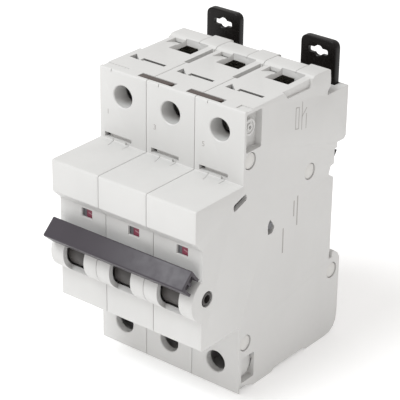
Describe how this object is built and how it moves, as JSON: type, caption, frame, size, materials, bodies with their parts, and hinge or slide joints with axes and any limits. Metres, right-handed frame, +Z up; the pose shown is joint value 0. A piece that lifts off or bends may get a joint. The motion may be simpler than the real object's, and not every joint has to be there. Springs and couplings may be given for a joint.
{
  "type": "miniature circuit breaker",
  "caption": "Modular miniature circuit breaker for a 35 mm top-hat rail, with a joined toggle handle, box terminals above and below, and sliding rail clips.",
  "frame": {"origin": "on the rail seat face, at the middle of the width and the height of the rail's centre line", "axes": "+X to the right across the poles, +Y to the back, out of the rail seat, +Z up"},
  "size_m": [0.0522, 0.0754, 0.0947],
  "materials": {
    "housing_plastic": "fine moulded satin",
    "pin_plastic": "satin",
    "bar_plastic": "fine moulded satin",
    "toggle_plastic": "satin",
    "clip_plastic": "semi-gloss",
    "tie_clip_plastic": "satin",
    "flag_red": "semi-gloss",
    "carrier_plastic": "satin",
    "bright_steel": "bright",
    "dark_steel": "dull",
    "plated_steel": "zinc plated",
    "copper": "bare copper"
  },
  "bodies": {
    "housing": {"housing_tray_1": "housing_plastic", "housing_tray_2": "housing_plastic", "housing_tray_3": "housing_plastic", "housing_cover_1": "housing_plastic", "housing_cover_2": "housing_plastic", "housing_cover_3": "housing_plastic", "fixed_contact_1": "copper", "fixed_contact_2": "copper", "fixed_contact_3": "copper", "trip_coil_1": "copper", "trip_coil_2": "copper", "trip_coil_3": "copper", "magnet_yoke_1": "dark_steel", "magnet_yoke_2": "dark_steel", "magnet_yoke_3": "dark_steel", "bimetal_strip_1": "plated_steel", "bimetal_strip_2": "plated_steel", "bimetal_strip_3": "plated_steel", "arc_chute_1": "dark_steel", "arc_chute_2": "dark_steel", "arc_chute_3": "dark_steel", "assembly_pin_upper_front": "pin_plastic", "assembly_pin_lower_front": "pin_plastic", "assembly_pin_middle": "pin_plastic", "assembly_pin_rear": "pin_plastic", "pole_tie_clip_left": "tie_clip_plastic", "pole_tie_clip_right": "tie_clip_plastic"},
    "handle": {"toggle_1": "toggle_plastic", "toggle_2": "toggle_plastic", "toggle_3": "toggle_plastic", "handle_tie_bar": "bar_plastic"},
    "link_1": {"link_wire_1": "bright_steel"},
    "carrier_1": {"contact_carrier_1": "carrier_plastic"},
    "flag_1": {"indicator_flag_1": "flag_red"},
    "plunger_1": {"plunger_1": "bright_steel"},
    "link_2": {"link_wire_2": "bright_steel"},
    "carrier_2": {"contact_carrier_2": "carrier_plastic"},
    "flag_2": {"indicator_flag_2": "flag_red"},
    "plunger_2": {"plunger_2": "bright_steel"},
    "link_3": {"link_wire_3": "bright_steel"},
    "carrier_3": {"contact_carrier_3": "carrier_plastic"},
    "flag_3": {"indicator_flag_3": "flag_red"},
    "plunger_3": {"plunger_3": "bright_steel"},
    "trip_bar": {"trip_bar": "carrier_plastic"},
    "upper_screw_1": {"upper_terminal_screw_1": "plated_steel"},
    "upper_cage_1": {"upper_terminal_cage_1": "plated_steel"},
    "upper_screw_2": {"upper_terminal_screw_2": "plated_steel"},
    "upper_cage_2": {"upper_terminal_cage_2": "plated_steel"},
    "upper_screw_3": {"upper_terminal_screw_3": "plated_steel"},
    "upper_cage_3": {"upper_terminal_cage_3": "plated_steel"},
    "lower_screw_1": {"lower_terminal_screw_1": "plated_steel"},
    "lower_cage_1": {"lower_terminal_cage_1": "plated_steel"},
    "lower_screw_2": {"lower_terminal_screw_2": "plated_steel"},
    "lower_cage_2": {"lower_terminal_cage_2": "plated_steel"},
    "lower_screw_3": {"lower_terminal_screw_3": "plated_steel"},
    "lower_cage_3": {"lower_terminal_cage_3": "plated_steel"},
    "rail_clip_left": {"rail_clip_left": "clip_plastic"},
    "rail_clip_right": {"rail_clip_right": "clip_plastic"}
  },
  "joints": [
    {"name": "handle_swing", "type": "hinge", "parent": "housing", "child": "handle", "pos_m": [0, -0.0592, -0.00655], "axis": [1, 0, 0], "range_deg": [0, 72]},
    {"name": "link_1_pivot", "type": "hinge", "parent": "handle", "child": "link_1", "pos_m": [-0.02285, -0.05789, -0.00427], "axis": [1, 0, 0], "range_deg": [-74, 0]},
    {"name": "carrier_1_pivot", "type": "hinge", "parent": "housing", "child": "carrier_1", "pos_m": [-0.0175, -0.046, -0.012], "axis": [1, 0, 0], "range_deg": [0, 22.01]},
    {"name": "flag_1_slide", "type": "slide", "parent": "housing", "child": "flag_1", "axis": [0, 0, 1], "range_m": [0, 0.0034]},
    {"name": "plunger_1_stroke", "type": "slide", "parent": "housing", "child": "plunger_1", "axis": [0, -1, 0], "range_m": [0, 0.002], "stiffness_N_per_m": 60, "springref_m": -0.001},
    {"name": "link_2_pivot", "type": "hinge", "parent": "handle", "child": "link_2", "pos_m": [-0.00535, -0.05789, -0.00427], "axis": [1, 0, 0], "range_deg": [-74, 0]},
    {"name": "carrier_2_pivot", "type": "hinge", "parent": "housing", "child": "carrier_2", "pos_m": [0, -0.046, -0.012], "axis": [1, 0, 0], "range_deg": [0, 22.01]},
    {"name": "flag_2_slide", "type": "slide", "parent": "housing", "child": "flag_2", "axis": [0, 0, 1], "range_m": [0, 0.0034]},
    {"name": "plunger_2_stroke", "type": "slide", "parent": "housing", "child": "plunger_2", "axis": [0, -1, 0], "range_m": [0, 0.002], "stiffness_N_per_m": 60, "springref_m": -0.001},
    {"name": "link_3_pivot", "type": "hinge", "parent": "handle", "child": "link_3", "pos_m": [0.01215, -0.05789, -0.00427], "axis": [1, 0, 0], "range_deg": [-74, 0]},
    {"name": "carrier_3_pivot", "type": "hinge", "parent": "housing", "child": "carrier_3", "pos_m": [0.0175, -0.046, -0.012], "axis": [1, 0, 0], "range_deg": [0, 22.01]},
    {"name": "flag_3_slide", "type": "slide", "parent": "housing", "child": "flag_3", "axis": [0, 0, 1], "range_m": [0, 0.0034]},
    {"name": "plunger_3_stroke", "type": "slide", "parent": "housing", "child": "plunger_3", "axis": [0, -1, 0], "range_m": [0, 0.002], "stiffness_N_per_m": 60, "springref_m": -0.001},
    {"name": "trip_bar_turn", "type": "hinge", "parent": "housing", "child": "trip_bar", "pos_m": [0, -0.0305, 0.0048], "axis": [1, 0, 0], "range_deg": [0, 10], "stiffness_Nm_per_rad": 0.003, "springref_deg": -11.46},
    {"name": "upper_screw_1_turn", "type": "hinge", "parent": "housing", "child": "upper_screw_1", "pos_m": [-0.0175, -0.0386, 0.0368], "axis": [0, 1, 0], "range_deg": [0, 3240]},
    {"name": "upper_cage_1_lift", "type": "slide", "parent": "housing", "child": "upper_cage_1", "axis": [0, -1, 0], "range_m": [0, 0.0072]},
    {"name": "upper_screw_2_turn", "type": "hinge", "parent": "housing", "child": "upper_screw_2", "pos_m": [0, -0.0386, 0.0368], "axis": [0, 1, 0], "range_deg": [0, 3240]},
    {"name": "upper_cage_2_lift", "type": "slide", "parent": "housing", "child": "upper_cage_2", "axis": [0, -1, 0], "range_m": [0, 0.0072]},
    {"name": "upper_screw_3_turn", "type": "hinge", "parent": "housing", "child": "upper_screw_3", "pos_m": [0.0175, -0.0386, 0.0368], "axis": [0, 1, 0], "range_deg": [0, 3240]},
    {"name": "upper_cage_3_lift", "type": "slide", "parent": "housing", "child": "upper_cage_3", "axis": [0, -1, 0], "range_m": [0, 0.0072]},
    {"name": "lower_screw_1_turn", "type": "hinge", "parent": "housing", "child": "lower_screw_1", "pos_m": [-0.0175, -0.0386, -0.037], "axis": [0, 1, 0], "range_deg": [0, 3240]},
    {"name": "lower_cage_1_lift", "type": "slide", "parent": "housing", "child": "lower_cage_1", "axis": [0, -1, 0], "range_m": [0, 0.0072]},
    {"name": "lower_screw_2_turn", "type": "hinge", "parent": "housing", "child": "lower_screw_2", "pos_m": [0, -0.0386, -0.037], "axis": [0, 1, 0], "range_deg": [0, 3240]},
    {"name": "lower_cage_2_lift", "type": "slide", "parent": "housing", "child": "lower_cage_2", "axis": [0, -1, 0], "range_m": [0, 0.0072]},
    {"name": "lower_screw_3_turn", "type": "hinge", "parent": "housing", "child": "lower_screw_3", "pos_m": [0.0175, -0.0386, -0.037], "axis": [0, 1, 0], "range_deg": [0, 3240]},
    {"name": "lower_cage_3_lift", "type": "slide", "parent": "housing", "child": "lower_cage_3", "axis": [0, -1, 0], "range_m": [0, 0.0072]},
    {"name": "rail_clip_left_slide", "type": "slide", "parent": "housing", "child": "rail_clip_left", "axis": [0, 0, 1], "range_m": [0, 0.0045]},
    {"name": "rail_clip_right_slide", "type": "slide", "parent": "housing", "child": "rail_clip_right", "axis": [0, 0, 1], "range_m": [0, 0.0045]}
  ],
  "couplings": [
    {"joint": "link_1_pivot", "follows": "handle_swing", "ratio": -1.0195},
    {"joint": "carrier_1_pivot", "follows": "handle_swing", "ratio": 0.30556},
    {"joint": "flag_1_slide", "follows": "handle_swing", "m_per_rad": 0.002705},
    {"joint": "link_2_pivot", "follows": "handle_swing", "ratio": -1.0195},
    {"joint": "carrier_2_pivot", "follows": "handle_swing", "ratio": 0.30556},
    {"joint": "flag_2_slide", "follows": "handle_swing", "m_per_rad": 0.002705},
    {"joint": "link_3_pivot", "follows": "handle_swing", "ratio": -1.0195},
    {"joint": "carrier_3_pivot", "follows": "handle_swing", "ratio": 0.30556},
    {"joint": "flag_3_slide", "follows": "handle_swing", "m_per_rad": 0.002705},
    {"joint": "upper_screw_1_turn", "follows": "upper_cage_1_lift", "rad_per_m": 7854},
    {"joint": "upper_screw_2_turn", "follows": "upper_cage_2_lift", "rad_per_m": 7854},
    {"joint": "upper_screw_3_turn", "follows": "upper_cage_3_lift", "rad_per_m": 7854},
    {"joint": "lower_screw_1_turn", "follows": "lower_cage_1_lift", "rad_per_m": 7854},
    {"joint": "lower_screw_2_turn", "follows": "lower_cage_2_lift", "rad_per_m": 7854},
    {"joint": "lower_screw_3_turn", "follows": "lower_cage_3_lift", "rad_per_m": 7854}
  ]
}
